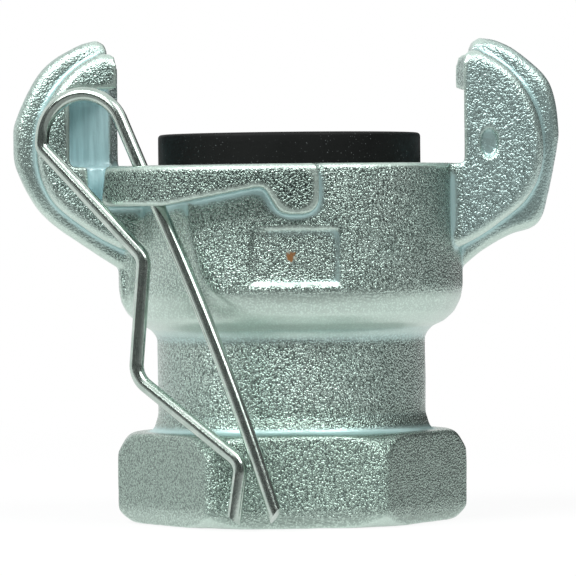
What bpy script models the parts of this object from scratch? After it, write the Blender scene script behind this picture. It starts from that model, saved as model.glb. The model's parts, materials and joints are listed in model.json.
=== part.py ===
"""Claw coupling for an air hose, with a female threaded hexagon end.

One iron casting carries everything: the hexagon end, the neck, the round head, two hooked claws
half a turn apart, and two cam ledges that run from the open side of each claw. A rubber washer sits
in the head, and a hairpin clip of spring wire hangs through the drilled hole in the front ledge.

Units are metres. The turning axis is Z, z = 0 is the end face of the hexagon, and the front is -Y.
"""

import math

import bpy
import bmesh
from mathutils import Matrix, Vector


# Hexagon end
HEX_ACROSS_FLATS = 0.0368
HEX_CORNER_RADIUS = 0.02115
HEX_EDGE_ROUNDING = 0.0012
HEX_STRAIGHT_HEIGHT = 0.0090
HEX_CHAMFER_WIDTH = 0.0013
HEX_CHAMFER_HEIGHT = 0.0014
HEX_FOOT_WIDTH = 0.0007
HEX_FOOT_HEIGHT = 0.0003
SHOULDER_HEIGHT = 0.0036
SHOULDER_FLARE_HEIGHT = 0.0017
SHOULDER_FILLET = 0.0006
SHOULDER_BREAK_RADIUS = 0.0197
SHOULDER_BREAK_HEIGHT = 0.0019

# Neck and head
NECK_RADIUS = 0.0162
NECK_TOP = 0.0231
HEAD_RADIUS = 0.0208
HEAD_UNDERSIDE_RADIUS = 0.0051
NECK_FILLET = 0.0009
FACE_HEIGHT = 0.04295
FACE_EDGE_RADIUS = 0.0005

# Bore, threaded socket and washer seat
BORE_RADIUS = 0.0100
SOCKET_RADIUS = 0.0120
SOCKET_DEPTH = 0.0185
SOCKET_TAPER = 1 / 32
SOCKET_MOUTH_CHAMFER = 0.0012
FIT_CLEARANCE = 0.0003

# Washer
WASHER_RADIUS = 0.01586
WASHER_BORE_RADIUS = 0.0103
WASHER_STANDS_PROUD = 0.00375
WASHER_SEAT_DEPTH = 0.0050
WASHER_BEAD_RISE = 0.0011
WASHER_BEAD_HEIGHT = 0.0020
WASHER_EDGE_RADIUS = 0.0004

# Claws. Their outlines are given from the edge of the head's face: outwards, then upwards.
CLAW_HALF_THICKNESS = 0.0081
CLAW_FACE_ROUNDING = 0.0013
CLAW_INNER_RADIUS = 0.0222
RIB_HALF_THICKNESS = 0.0037
RIB_ROUNDING = 0.0023
CLAW_FACE_BACK = (
    (0.00170, 0.01345), (0.00435, 0.01210), (0.00670, 0.00990), (0.00865, 0.00650),
    (0.00955, 0.00235), (0.00920, -0.00095), (0.00805, -0.00360), (0.00630, -0.00560),
    (0.00230, -0.00850), (-0.00050, -0.01000),
)
RIGHT_RIB_BACK = (
    (0.00220, 0.01505), (0.00440, 0.01465), (0.00705, 0.01320), (0.01070, 0.00960),
    (0.01170, 0.00450), (0.01150, 0.00150), (0.01020, -0.00475), (0.00950, -0.00690),
    (0.00830, -0.00795), (0.00580, -0.00865), (0.00245, -0.01050), (-0.00050, -0.01285),
)
LEFT_RIB_BACK = (
    (0.00240, 0.01520), (0.00490, 0.01440), (0.00905, 0.01160), (0.01215, 0.00580),
    (0.01250, 0.00290), (0.01210, -0.00050), (0.00915, -0.00570), (0.00345, -0.01005),
    (-0.00050, -0.01255),
)
CLAW_ROOT_DEPTH = 0.0035
CLAW_FLOOR_DROP = 0.00005
TIP_BEVEL = 0.0014

# Pocket in the open side of each claw, closed by a web on the other side
WEB_THICKNESS = 0.0031
POCKET_RADIUS = 0.0275
POCKET_HEIGHT_AT_WEB = 0.0083
POCKET_HEIGHT_AT_MOUTH = 0.0092
POCKET_ROUNDING = 0.0009
SLOT_OUTER = 0.0243
SLOT_FOOT = 0.0240
SLOT_FLOOR = 0.0050
SLOT_DROP = 0.0048
SLOT_ROUNDING = 0.0008

# Dimple on the closed face of each claw, from the edge of the head's face
DIMPLE_OUT = 0.0029
DIMPLE_UP = 0.0023
DIMPLE_WIDTH = 0.0023
DIMPLE_LENGTH = 0.0038
DIMPLE_DEPTH = 0.00040

# Cam ledges
LEDGE_WIDTH = 0.0047
LEDGE_RADIUS = HEAD_RADIUS + LEDGE_WIDTH
LEDGE_DROP = 0.0001
LEDGE_EDGE_RADIUS = 0.0006
LEDGE_END = -0.0221
LEDGE_END_SLANT = 0.0006
LEDGE_THICK = 0.00485
LEDGE_THIN = 0.00265
RAMP_START = -0.0154
RAMP_END = -0.0037
RAMP_ROUNDING = 0.004
NUB_LEFT = -0.0017
NUB_RIGHT = 0.0027
NUB_DEPTH = 0.0060
NUB_ROUNDING = 0.0019

# Cast relief beside the clip, below each ledge, and the sunk panel on the front
RELIEF_DEPTH = 0.00125
RELIEF_EDGE = (
    (-0.0125, -0.0030), (-0.0123, -0.0080), (-0.0117, -0.0112), (-0.0109, -0.0137),
    (-0.0098, -0.0153), (-0.0078, -0.0167), (-0.0050, -0.0190), (-0.0050, -0.0215),
)
PANEL_WIDTH = 0.0109
PANEL_BOTTOM = 0.0284
PANEL_TOP = 0.0353
PANEL_DEPTH = 0.0005
PANEL_CORNER_RADIUS = 0.0010

# Safety clip
WIRE_RADIUS = 0.00085
HOLE_RADIUS = 0.00140
HOLE_STANDOFF = 0.0023
HOLE_AZIMUTH = math.radians(-47.6)
LEG_LEAN = math.radians(20.355)
LEG_STANDOFF = 0.00348
CLIP_TURN = math.radians(21.0)
LEG_BELOW_HOLE = 0.0426
LEG_BOW = 0.00065
LEG_BOW_START = 0.0
LOOP_CENTRE = (0.0055, 0.0085)
LOOP_RADIUS = 0.0052
LOOP_END = math.radians(25)
RETURN_BENDS = (
    (0.01075, 0.0096, 0.0012), (0.0037, -0.0077, 0.0022), (0.0100, -0.0203, 0.0030),
    (0.0016, -0.0347, 0.0022),
)
RETURN_END = (0.00515, -0.0409)

# Facets
TURN_STEPS = 64
ARC_STEP = math.radians(20)
SMALL_ARC_STEP = math.radians(45)
SMALL_RADIUS = 0.00125
HALF_TURN = math.pi
OVERSHOOT = 0.001


def remove_default_objects():
    for obj in list(bpy.data.objects):
        bpy.data.objects.remove(obj, do_unlink=True)


def make_collection(name):
    collection = bpy.data.collections.new(name)
    bpy.context.scene.collection.children.link(collection)
    return collection


def principled(name, colour, roughness, metallic):
    material = bpy.data.materials.new(name)
    material.use_nodes = True
    shader = material.node_tree.nodes["Principled BSDF"]
    shader.inputs["Base Color"].default_value = (*colour, 1.0)
    shader.inputs["Roughness"].default_value = roughness
    shader.inputs["Metallic"].default_value = metallic
    return material


def arc_points(centre, radius, start, end):
    """Points along an arc, its two ends included."""
    step_angle = SMALL_ARC_STEP if radius < SMALL_RADIUS else ARC_STEP
    steps = max(2, math.ceil(abs(end - start) / step_angle))
    angles = [start + (end - start) * step / steps for step in range(steps + 1)]
    return [(centre[0] + radius * math.cos(a), centre[1] + radius * math.sin(a)) for a in angles]


def rounded_corner(before, corner, after, radius):
    """Replace one corner of a path by an arc that touches both of its sides."""
    middle = Vector(corner)
    to_before = (Vector(before) - middle)
    to_after = (Vector(after) - middle)
    half_angle = to_before.angle(to_after) / 2
    limit = 0.49 * min(to_before.length, to_after.length)
    setback = min(radius / math.tan(half_angle), limit)
    radius = setback * math.tan(half_angle)
    bisector = (to_before.normalized() + to_after.normalized()).normalized()
    centre = middle + bisector * (radius / math.sin(half_angle))
    first = middle + to_before.normalized() * setback - centre
    last = middle + to_after.normalized() * setback - centre
    start = math.atan2(first.y, first.x)
    sweep = first.angle_signed(last)
    return arc_points(centre, radius, start, start - sweep)


def rounded_path(corners, closed=True):
    """Turn corners given as (x, y, radius) into points, with an arc at each radius."""
    points = []
    count = len(corners)
    for index, (x, y, radius) in enumerate(corners):
        is_end = not closed and index in (0, count - 1)
        if radius == 0 or is_end:
            points.append((x, y))
            continue
        before = corners[index - 1][:2]
        after = corners[(index + 1) % count][:2]
        points.extend(rounded_corner(before, (x, y), after, radius))
    return points


def smooth_path(points, steps=4):
    """A smooth open curve through the given points."""
    knots = [Vector(point) for point in points]
    knots = [knots[0] * 2 - knots[1]] + knots + [knots[-1] * 2 - knots[-2]]
    path = []
    for p0, p1, p2, p3 in zip(knots, knots[1:], knots[2:], knots[3:]):
        for step in range(steps):
            t = step / steps
            path.append(0.5 * (2 * p1 + (p2 - p0) * t + (2 * p0 - 5 * p1 + 4 * p2 - p3) * t ** 2
                               + (3 * p1 - p0 - 3 * p2 + p3) * t ** 3))
    path.append(knots[-2])
    return [tuple(point) for point in path]


def add_object(name, mesh, collection, turn=0.0):
    obj = bpy.data.objects.new(name, mesh)
    obj.rotation_euler.z = turn
    collection.objects.link(obj)
    return obj


def hide_construction(obj):
    obj.hide_render = True
    obj.display_type = "WIRE"
    return obj


def turned(name, profile, collection, closed=False, turn=0.0):
    """Turn a profile of (radius, height) points about Z. It runs down its outer side."""
    mesh = bpy.data.meshes.new(name)
    vertices = [(radius, 0, height) for radius, height in profile]
    edges = [(index, index + 1) for index in range(len(vertices) - 1)]
    if closed:
        edges.append((len(vertices) - 1, 0))
    mesh.from_pydata(vertices, edges, [])
    obj = add_object(name, mesh, collection, turn)
    screw = obj.modifiers.new("turn", "SCREW")
    screw.axis = "Z"
    screw.angle = 2 * math.pi
    screw.steps = TURN_STEPS
    screw.render_steps = TURN_STEPS
    screw.use_merge_vertices = True
    screw.merge_threshold = 0.000001
    return obj


def mesh_from_curve(obj):
    """The evaluated mesh of a curve object, with its caps joined on. The curve is removed."""
    depsgraph = bpy.context.evaluated_depsgraph_get()
    mesh = bpy.data.meshes.new_from_object(obj.evaluated_get(depsgraph))
    mesh.name = obj.name
    curve = obj.data
    bpy.data.objects.remove(obj)
    bpy.data.curves.remove(curve)
    shape = bmesh.new()
    shape.from_mesh(mesh)
    bmesh.ops.remove_doubles(shape, verts=shape.verts, dist=0.000001)
    return mesh, shape


def plate(name, outline, low, high, facing, collection, rounding=0.0, turn=0.0):
    """A flat outline extruded from low to high along the axis named by facing.

    With facing Y the outline is (x, z), and with facing X it is (y, z).
    """
    curve = bpy.data.curves.new(name, "CURVE")
    curve.dimensions = "2D"
    curve.fill_mode = "BOTH"
    curve.extrude = (high - low) / 2
    spline = curve.splines.new("POLY")
    spline.points.add(len(outline) - 1)
    for point, (across, up) in zip(spline.points, outline):
        point.co = (across, up, 0, 1)
    spline.use_cyclic_u = True
    flat = add_object(name, curve, collection)
    mesh, shape = mesh_from_curve(flat)
    bmesh.ops.dissolve_limit(
        shape, angle_limit=math.radians(0.5), verts=shape.verts, edges=shape.edges)
    half = (high - low) / 2
    weights = shape.edges.layers.float.new("bevel_weight_edge")
    for edge in shape.edges:
        heights = [vertex.co.z for vertex in edge.verts]
        on_rim = abs(heights[0] - heights[1]) < half and abs(abs(heights[0]) - half) < 0.00001
        edge[weights] = 1.0 if on_rim else 0.0
    shape.to_mesh(mesh)
    shape.free()
    stand_up = Matrix.Rotation(math.pi / 2, 4, "X")
    face_along = Matrix.Rotation(math.pi / 2, 4, "Z") if facing == "X" else Matrix.Identity(4)
    middle = (low + high) / 2
    offset = Vector((middle, 0, 0)) if facing == "X" else Vector((0, middle, 0))
    mesh.transform(Matrix.Translation(offset) @ face_along @ stand_up)
    obj = add_object(name, mesh, collection, turn)
    if rounding:
        bevel = obj.modifiers.new("rounded_rims", "BEVEL")
        bevel.limit_method = "WEIGHT"
        bevel.width = rounding
        bevel.segments = 3
    return obj


def cylinder(name, radius, length, matrix, collection, sides=24, turn=0.0):
    mesh = bpy.data.meshes.new(name)
    shape = bmesh.new()
    bmesh.ops.create_cone(shape, cap_ends=True, segments=sides, radius1=radius, radius2=radius,
                          depth=length, matrix=matrix)
    shape.to_mesh(mesh)
    shape.free()
    return add_object(name, mesh, collection, turn)


def combine(obj, operation, other):
    """Add one live Boolean to obj. The other solid is construction and stays hidden."""
    hide_construction(other)
    boolean = obj.modifiers.new(f"{operation.lower()}_{other.name}"[:60], "BOOLEAN")
    boolean.operation = operation
    boolean.solver = "EXACT"
    boolean.object = other
    return obj


def head_radius_point(out, up):
    """A point of a claw outline, from the edge of the head's face."""
    return (HEAD_RADIUS + out, FACE_HEIGHT + up)


def make_core(parts):
    """Neck and head as one turned solid, down into the hexagon."""
    upper = rounded_path([
        (0, FACE_HEIGHT, 0),
        (HEAD_RADIUS, FACE_HEIGHT, FACE_EDGE_RADIUS),
        (HEAD_RADIUS, NECK_TOP + HEAD_UNDERSIDE_RADIUS, 0),
    ], closed=False)
    underside = arc_points((HEAD_RADIUS - HEAD_UNDERSIDE_RADIUS, NECK_TOP + HEAD_UNDERSIDE_RADIUS),
                           HEAD_UNDERSIDE_RADIUS, 0, -math.radians(75))
    lower = rounded_path([
        (*underside[-1], 0),
        (NECK_RADIUS, NECK_TOP - NECK_FILLET, NECK_FILLET),
        (NECK_RADIUS, HEX_STRAIGHT_HEIGHT / 2, 0),
        (0, HEX_STRAIGHT_HEIGHT / 2, 0),
    ], closed=False)
    return turned("coupling_body", upper + underside[1:] + lower[1:], parts)


def make_hexagon(tools):
    """A hexagonal prism, rounded by a turned envelope that also gives its sloping shoulder."""
    shoulder_top = HEX_STRAIGHT_HEIGHT + SHOULDER_HEIGHT
    sharp_corner = HEX_ACROSS_FLATS / math.sqrt(3)
    middle = Matrix.Translation((0, 0, shoulder_top / 2))
    prism = cylinder("hexagon", sharp_corner, shoulder_top + 2 * OVERSHOOT, middle, tools, sides=6)
    flat_to_front = math.radians(30) if is_corner_forward(prism) else 0.0
    prism.data.transform(Matrix.Rotation(flat_to_front, 4, "Z"))
    corners = [
        (0, shoulder_top, 0),
        (NECK_RADIUS - FACE_EDGE_RADIUS, shoulder_top, 0),
        (NECK_RADIUS + FACE_EDGE_RADIUS / 4, shoulder_top, 0),
        (NECK_RADIUS + SHOULDER_FILLET, shoulder_top - SHOULDER_FLARE_HEIGHT, SHOULDER_FILLET),
        (SHOULDER_BREAK_RADIUS, HEX_STRAIGHT_HEIGHT + SHOULDER_BREAK_HEIGHT,
         1.5 * HEX_EDGE_ROUNDING),
        (HEX_CORNER_RADIUS, HEX_STRAIGHT_HEIGHT - HEX_EDGE_ROUNDING / 2, HEX_EDGE_ROUNDING),
        (HEX_CORNER_RADIUS, HEX_CHAMFER_HEIGHT, HEX_EDGE_ROUNDING),
        (HEX_CORNER_RADIUS - HEX_CHAMFER_WIDTH, HEX_FOOT_HEIGHT, HEX_EDGE_ROUNDING),
        (HEX_CORNER_RADIUS - HEX_CHAMFER_WIDTH - HEX_FOOT_WIDTH, 0, 0),
        (0, 0, 0),
    ]
    envelope = turned("hexagon_envelope", rounded_path(corners, closed=False), tools)
    return combine(prism, "INTERSECT", envelope)


def is_corner_forward(prism):
    """Whether one of the prism's corners points to the front."""
    return any(abs(vertex.co.x) < 0.0001 for vertex in prism.data.vertices)


def make_claw(side, rib_back, turn, tools):
    """One hooked claw, built at +X and then turned to its side of the head."""
    root = HEAD_RADIUS - CLAW_ROOT_DEPTH

    rib_line = smooth_path([head_radius_point(*point) for point in rib_back])
    rib_top = rib_line[0]
    rib_outline = rib_line + [
        (root, rib_line[-1][1]),
        (root, rib_top[1] - 1.7 * TIP_BEVEL),
        (rib_top[0] - 1.7 * TIP_BEVEL, rib_top[1] - TIP_BEVEL),
    ]
    claw = plate(f"{side}_claw", rib_outline, -RIB_HALF_THICKNESS, RIB_HALF_THICKNESS, "Y", tools,
                 rounding=RIB_ROUNDING, turn=turn)

    face_line = smooth_path([head_radius_point(*point) for point in CLAW_FACE_BACK])
    face_top = face_line[0]
    face_outline = face_line + [
        (root, face_line[-1][1]),
        (root, face_top[1] - TIP_BEVEL),
        (face_top[0] - 1.6 * TIP_BEVEL, face_top[1] - 0.2 * TIP_BEVEL),
    ]
    face = plate(f"{side}_claw_face", face_outline, -CLAW_HALF_THICKNESS, CLAW_HALF_THICKNESS,
                 "Y", tools, rounding=CLAW_FACE_ROUNDING, turn=turn)
    combine(claw, "UNION", face)

    top = FACE_HEIGHT + 2 * POCKET_HEIGHT_AT_MOUTH
    floor = FACE_HEIGHT - CLAW_FLOOR_DROP
    mating_space = turned(f"{side}_mating_space", [
        (0, top), (CLAW_INNER_RADIUS, top), (CLAW_INNER_RADIUS, floor), (0, floor),
    ], tools, turn=turn)
    combine(claw, "DIFFERENCE", mating_space)
    combine(claw, "DIFFERENCE", make_pocket(side, turn, tools))
    combine(claw, "DIFFERENCE", make_slot(side, turn, tools))
    combine(claw, "DIFFERENCE", make_dimple(side, turn, tools))
    return claw


def make_pocket(side, turn, tools):
    """Space for the other coupling's ledge: a ring, cut to the web and the sloping roof."""
    web = -CLAW_HALF_THICKNESS + WEB_THICKNESS
    mouth = CLAW_HALF_THICKNESS + OVERSHOOT
    floor = FACE_HEIGHT - CLAW_FLOOR_DROP
    corners = [
        (web, floor, POCKET_ROUNDING),
        (mouth, floor, 0),
        (mouth, FACE_HEIGHT + POCKET_HEIGHT_AT_MOUTH, 0),
        (web, FACE_HEIGHT + POCKET_HEIGHT_AT_WEB, POCKET_ROUNDING),
    ]
    inside = HEAD_RADIUS - CLAW_ROOT_DEPTH
    pocket = plate(f"{side}_pocket", rounded_path(corners), inside / 2, POCKET_RADIUS + OVERSHOOT,
                   "X", tools, turn=turn)
    top = FACE_HEIGHT + 2 * POCKET_HEIGHT_AT_MOUTH
    bottom = FACE_HEIGHT - OVERSHOOT
    ring = turned(f"{side}_pocket_ring", [
        (POCKET_RADIUS, top), (POCKET_RADIUS, bottom), (inside, bottom), (inside, top),
    ], tools, closed=True, turn=turn)
    return combine(pocket, "INTERSECT", ring)


def make_slot(side, turn, tools):
    """The cored slot that parts the claw from its ledge, whose end forms the inner wall."""
    inner = -LEDGE_END - OVERSHOOT
    top = FACE_HEIGHT + OVERSHOOT
    foot = FACE_HEIGHT - SLOT_DROP
    outline = rounded_path([
        (inner, top, 0),
        (inner, foot, 0),
        (SLOT_FOOT, foot, SLOT_ROUNDING),
        (SLOT_OUTER, FACE_HEIGHT, 0),
        (SLOT_OUTER, top, 0),
    ])
    return plate(f"{side}_slot", outline, SLOT_FLOOR, CLAW_HALF_THICKNESS + OVERSHOOT, "Y", tools,
                 turn=turn)


def make_dimple(side, turn, tools):
    """A shallow oval pressed into the closed face."""
    place = Matrix.Translation((HEAD_RADIUS + DIMPLE_OUT, -CLAW_HALF_THICKNESS,
                                FACE_HEIGHT + DIMPLE_UP))
    size = Matrix.Diagonal((DIMPLE_WIDTH / 2, 1, DIMPLE_LENGTH / 2, 1))
    facing = Matrix.Rotation(math.pi / 2, 4, "X")
    return cylinder(f"{side}_dimple", 1, 2 * DIMPLE_DEPTH, place @ size @ facing, tools,
                    sides=20, turn=turn)


def make_ledge(name, turn, tools):
    """A cam ledge: a turned ring, cut to its front view with the ramp and the stop nub."""
    thick = FACE_HEIGHT - LEDGE_THICK
    thin = FACE_HEIGHT - LEDGE_THIN
    nub = FACE_HEIGHT - NUB_DEPTH
    above = FACE_HEIGHT + LEDGE_EDGE_RADIUS / 4
    front_view = rounded_path([
        (LEDGE_END, above, LEDGE_EDGE_RADIUS),
        (LEDGE_END - LEDGE_END_SLANT, thick, LEDGE_EDGE_RADIUS),
        (RAMP_START, thick, RAMP_ROUNDING),
        (RAMP_END, thin, NUB_ROUNDING / 2),
        (NUB_LEFT, nub, NUB_ROUNDING),
        (NUB_RIGHT, nub, NUB_ROUNDING),
        (NUB_RIGHT, above, 2 * LEDGE_EDGE_RADIUS),
    ])
    ledge = plate(name, front_view, -LEDGE_RADIUS - OVERSHOOT, OVERSHOOT - SLOT_FLOOR, "Y", tools,
                  turn=turn)
    inside = HEAD_RADIUS - CLAW_ROOT_DEPTH
    top = FACE_HEIGHT - LEDGE_DROP
    ring = turned(f"{name}_ring", rounded_path([
        (LEDGE_RADIUS, top, LEDGE_EDGE_RADIUS),
        (LEDGE_RADIUS, nub - OVERSHOOT, 0),
        (inside, nub - OVERSHOOT, 0),
        (inside, top, 0),
    ]), tools, closed=True, turn=turn)
    return combine(ledge, "INTERSECT", ring)


def make_relief(name, turn, tools):
    """The shallow cast relief that clears the clip's straight leg below the ledge.

    Its left end runs in under the claw's rib.
    """
    edge = [(across, FACE_HEIGHT + up) for across, up in RELIEF_EDGE]
    far_left = -HEAD_RADIUS - OVERSHOOT
    outline = [(far_left, edge[0][1])] + edge + [(far_left, edge[-1][1])]
    relief = plate(name, outline, -LEDGE_RADIUS, -0.8 * RIB_HALF_THICKNESS, "Y", tools, turn=turn)
    floor = HEAD_RADIUS - RELIEF_DEPTH
    ring = turned(f"{name}_ring", [
        (LEDGE_RADIUS, FACE_HEIGHT), (LEDGE_RADIUS, NECK_TOP - OVERSHOOT),
        (floor, NECK_TOP - OVERSHOOT), (floor, FACE_HEIGHT),
    ], tools, closed=True, turn=turn)
    return combine(relief, "INTERSECT", ring)


def make_panel(tools):
    """The sunk, bare panel on the front of the head."""
    half = PANEL_WIDTH / 2
    outline = rounded_path([
        (-half, PANEL_BOTTOM, PANEL_CORNER_RADIUS), (half, PANEL_BOTTOM, PANEL_CORNER_RADIUS),
        (half, PANEL_TOP, PANEL_CORNER_RADIUS), (-half, PANEL_TOP, PANEL_CORNER_RADIUS),
    ])
    panel = plate("panel", outline, -LEDGE_RADIUS, -NECK_RADIUS, "Y", tools)
    floor = HEAD_RADIUS - PANEL_DEPTH
    ring = turned("panel_ring", [
        (LEDGE_RADIUS, PANEL_TOP + OVERSHOOT), (LEDGE_RADIUS, PANEL_BOTTOM - OVERSHOOT),
        (floor, PANEL_BOTTOM - OVERSHOOT), (floor, PANEL_TOP + OVERSHOOT),
    ], tools, closed=True)
    return combine(panel, "INTERSECT", ring)


def make_bore(tools):
    """Washer seat with its undercut, through bore and tapered socket, as one turned cutter."""
    seat_radius = WASHER_RADIUS + FIT_CLEARANCE
    seat_floor = FACE_HEIGHT - WASHER_SEAT_DEPTH
    groove_radius = seat_radius + WASHER_BEAD_RISE
    groove_top = seat_floor + WASHER_BEAD_HEIGHT + 2 * FIT_CLEARANCE
    socket_end_radius = SOCKET_RADIUS - SOCKET_DEPTH * SOCKET_TAPER
    run_out = SOCKET_DEPTH + (socket_end_radius - BORE_RADIUS)
    mouth = SOCKET_RADIUS + SOCKET_MOUTH_CHAMFER
    profile = [
        (0, FACE_HEIGHT + OVERSHOOT),
        (seat_radius, FACE_HEIGHT + OVERSHOOT),
        (seat_radius, groove_top + WASHER_BEAD_RISE),
        (groove_radius, groove_top),
        (groove_radius, seat_floor),
        (BORE_RADIUS, seat_floor),
        (BORE_RADIUS, run_out),
        (socket_end_radius, SOCKET_DEPTH),
        (SOCKET_RADIUS, SOCKET_MOUTH_CHAMFER),
        (mouth, 0),
        (mouth, -OVERSHOOT),
        (0, -OVERSHOOT),
    ]
    return turned("bore", profile, tools)


def clip_frame():
    """Local frame of the clip: Z up its straight leg, X towards its bent leg.

    The leg leans forward just enough to pass in front of the hexagon.
    """
    hole_circle = HEAD_RADIUS + HOLE_STANDOFF
    hole = Vector((hole_circle * math.sin(HOLE_AZIMUTH), -hole_circle * math.cos(HOLE_AZIMUTH),
                   FACE_HEIGHT - LEDGE_THICK / 2))
    leg_front = HEX_ACROSS_FLATS / 2 + LEG_STANDOFF
    forward_lean = (leg_front + hole.y) / (hole.z - HEX_STRAIGHT_HEIGHT)
    leg = Vector((-math.tan(LEG_LEAN), forward_lean, 1)).normalized()
    sideways = Vector((-math.cos(CLIP_TURN), math.sin(CLIP_TURN), 0))
    sideways = (sideways - leg * sideways.dot(leg)).normalized()
    across = leg.cross(sideways)
    frame = Matrix((sideways, across, leg)).transposed().to_4x4()
    frame.translation = hole
    return frame


def make_clip_hole(name, turn, tools):
    return cylinder(name, HOLE_RADIUS, 3 * LEDGE_THICK, clip_frame(), tools, turn=turn)


def make_body(parts, tools):
    """The casting: every union first, and then what is cored, machined or drilled."""
    body = make_core(parts)
    for side, turn in (("front", 0.0), ("back", HALF_TURN)):
        combine(body, "DIFFERENCE", make_relief(f"{side}_relief", turn, tools))
    combine(body, "DIFFERENCE", make_panel(tools))
    combine(body, "UNION", make_hexagon(tools))
    for side, rib_back, turn in (("right", RIGHT_RIB_BACK, 0.0), ("left", LEFT_RIB_BACK, HALF_TURN)):
        combine(body, "UNION", make_claw(side, rib_back, turn, tools))
    for side, turn in (("front", 0.0), ("back", HALF_TURN)):
        combine(body, "UNION", make_ledge(f"{side}_ledge", turn, tools))
    combine(body, "DIFFERENCE", make_bore(tools))
    for side, turn in (("front", 0.0), ("back", HALF_TURN)):
        combine(body, "DIFFERENCE", make_clip_hole(f"{side}_clip_hole", turn, tools))
    body.data.materials.append(principled("plated_iron", (0.52, 0.57, 0.56), 0.45, 0.9))
    return body


def make_washer(parts):
    """The rubber ring, with a bead at its foot that snaps into the seat's undercut."""
    top = FACE_HEIGHT + WASHER_STANDS_PROUD
    foot = FACE_HEIGHT - WASHER_SEAT_DEPTH + FIT_CLEARANCE
    bead_radius = WASHER_RADIUS + WASHER_BEAD_RISE
    bead_top = foot + WASHER_BEAD_HEIGHT
    edge = WASHER_EDGE_RADIUS
    profile = rounded_path([
        (WASHER_RADIUS, top, edge),
        (WASHER_RADIUS, bead_top + WASHER_BEAD_RISE - FIT_CLEARANCE, 0),
        (bead_radius, bead_top - FIT_CLEARANCE, 0),
        (bead_radius, foot, 0),
        (WASHER_BORE_RADIUS, foot, 0),
        (WASHER_BORE_RADIUS, top, edge),
    ])
    washer = turned("seal_washer", profile, parts, closed=True)
    washer.data.materials.append(principled("black_rubber", (0.012, 0.013, 0.014), 0.55, 0.0))
    return washer


def clip_route():
    """The wire's centre line as (sideways, up the leg), from the straight leg's foot."""
    foot = -LEG_BELOW_HOLE
    straight = []
    bow_steps = 12
    for step in range(bow_steps + 1):
        share = step / bow_steps
        height = foot + (LEG_BOW_START - foot) * share
        straight.append((-4 * LEG_BOW * share * (1 - share), height))
    loop = arc_points(LOOP_CENTRE, LOOP_RADIUS, math.pi, LOOP_END)
    back = rounded_path([(*loop[-1], 0), *RETURN_BENDS, (*RETURN_END, 0)], closed=False)
    return straight + loop + back[1:]


def make_clip(parts):
    """The hairpin clip. Its object's origin and Z axis are the axis that it swings about."""
    curve = bpy.data.curves.new("safety_clip", "CURVE")
    curve.dimensions = "3D"
    curve.bevel_depth = WIRE_RADIUS
    curve.bevel_resolution = 3
    curve.use_fill_caps = True
    route = clip_route()
    spline = curve.splines.new("POLY")
    spline.points.add(len(route) - 1)
    for point, (sideways, up) in zip(spline.points, route):
        point.co = (sideways, 0, up, 1)
    mesh, shape = mesh_from_curve(add_object("safety_clip", curve, parts))
    shape.to_mesh(mesh)
    shape.free()
    clip = add_object("safety_clip", mesh, parts)
    clip.matrix_world = clip_frame()
    clip.data.materials.append(principled("plated_wire", (0.62, 0.64, 0.65), 0.25, 1.0))
    return clip


def shade_round(obj):
    obj.data.shade_smooth()
    obj.data.set_sharp_from_angle(angle=math.radians(35))


def main():
    remove_default_objects()
    parts = make_collection("female_end_coupling")
    tools = make_collection("cutters")
    pieces = [make_body(parts, tools), make_washer(parts), make_clip(parts)]
    for piece in pieces:
        shade_round(piece)


main()
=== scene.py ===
"""Looks of the claw coupling: a zinc-plated casting, a rubber washer and a spring-wire clip."""

import json
import math

import bmesh
import bpy
import numpy as np
from mathutils import Matrix, Vector, noise


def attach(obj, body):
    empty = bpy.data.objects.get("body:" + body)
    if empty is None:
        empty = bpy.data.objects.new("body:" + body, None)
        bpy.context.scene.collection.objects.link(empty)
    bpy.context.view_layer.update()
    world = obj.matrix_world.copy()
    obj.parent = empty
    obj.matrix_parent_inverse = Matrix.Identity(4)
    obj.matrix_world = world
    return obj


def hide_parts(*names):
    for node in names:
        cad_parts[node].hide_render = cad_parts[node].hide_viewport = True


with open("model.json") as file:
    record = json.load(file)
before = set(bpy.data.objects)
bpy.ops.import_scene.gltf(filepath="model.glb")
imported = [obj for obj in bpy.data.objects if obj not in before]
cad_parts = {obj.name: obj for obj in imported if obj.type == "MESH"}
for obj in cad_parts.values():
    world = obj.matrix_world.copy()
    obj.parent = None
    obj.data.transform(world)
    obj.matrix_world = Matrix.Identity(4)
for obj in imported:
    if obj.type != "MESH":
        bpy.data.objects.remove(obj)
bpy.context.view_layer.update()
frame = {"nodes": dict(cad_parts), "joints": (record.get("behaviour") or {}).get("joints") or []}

# The camera, fitted to the photograph's outline
PHOTO_WIDTH = 576
FOCAL_PIXELS = 5000
SENSOR_WIDTH = 36
CAMERA_DISTANCE = 0.605
CAMERA_HEIGHT = 0.03628
CAMERA_TURN = math.radians(1.6)
CAMERA_ROLL = 0.0105
CAMERA_NEAR = 0.01
CAMERA_FAR = 10
HORIZON_PIXELS = 68
AXIS_OFFSET_PIXELS = 2.66

# Casting
CAST_VOXEL = 0.00025
CAST_TRIANGLES = 190000
HEAD_FACE = 0.04295
HEAD_RADIUS = 0.0208
CLAW_FACE = 0.0081

# How far a point moves to its neighbours' mean in one pass, and the passes that soften each region
RELAX_STEP = 0.5
CAST_PASSES = 6
CLAW_EDGE_PASSES = 16
RELIEF_PASSES = 40
BROAD_PASSES = 60
MACHINED_KEEPS = 0.75

# The skin's unevenness: height, size of a wave, seed of the noise
SKIN_WAVES = ((0.00005, 0.0065, 1), (0.00003, 0.0016, 2))
MACHINED_EVENNESS = 0.8
NOISE_SHIFT = (7.31, 3.17, 5.77)

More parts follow.
